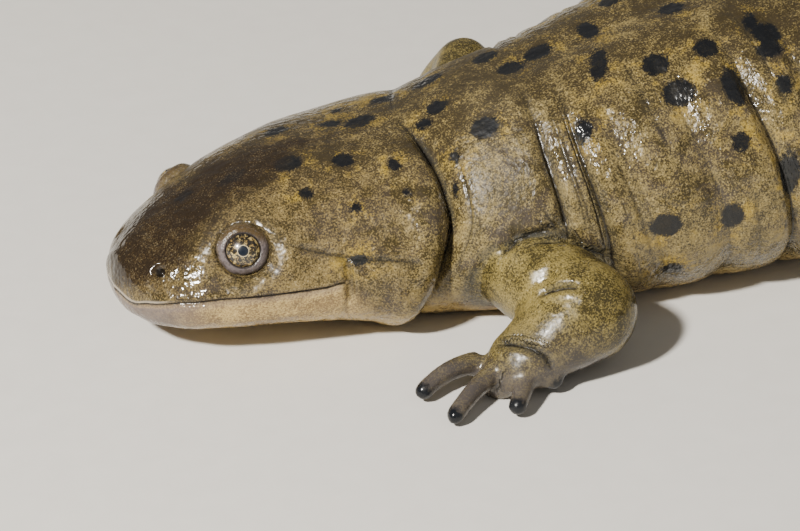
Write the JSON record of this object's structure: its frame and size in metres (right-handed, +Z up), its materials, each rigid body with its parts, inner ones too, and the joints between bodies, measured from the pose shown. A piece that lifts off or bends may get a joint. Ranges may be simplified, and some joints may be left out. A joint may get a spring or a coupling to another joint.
{
  "type": "tiger salamander",
  "caption": "Life-size still model of a tiger salamander at rest on its belly, head turned slightly, legs spread and tail trailing in a slow curve.",
  "frame": {"origin": "on the floor, under the middle of the trunk, on the flat of the belly", "axes": "+X from the snout towards the tail, +Z up, -Y out to the animal's left"},
  "size_m": [0.2082, 0.0952, 0.0287],
  "materials": {
    "skin_olive": "wet gloss",
    "skin_pale": "wet gloss",
    "skin_lid": "wet gloss",
    "skin_limb": "wet gloss",
    "skin_toe": "wet gloss",
    "eye": "polished"
  },
  "bodies": {
    "root": {"head": "skin_olive", "neck": "skin_olive", "chest": "skin_olive", "belly": "skin_olive", "hips": "skin_olive", "tail_base": "skin_olive", "tail_middle": "skin_olive", "tail_tip": "skin_olive", "lower_jaw": "skin_pale", "left_eye": "eye", "left_upper_lid": "skin_lid", "left_lower_lid": "skin_lid", "left_upper_arm": "skin_limb", "left_forearm": "skin_limb", "left_thigh": "skin_limb", "left_shank": "skin_limb", "left_hand": "skin_toe", "left_foot": "skin_toe", "right_eye": "eye", "right_upper_lid": "skin_lid", "right_lower_lid": "skin_lid", "right_upper_arm": "skin_limb", "right_forearm": "skin_limb", "right_thigh": "skin_limb", "right_shank": "skin_limb", "right_hand": "skin_toe", "right_foot": "skin_toe"}
  },
  "joints": []
}
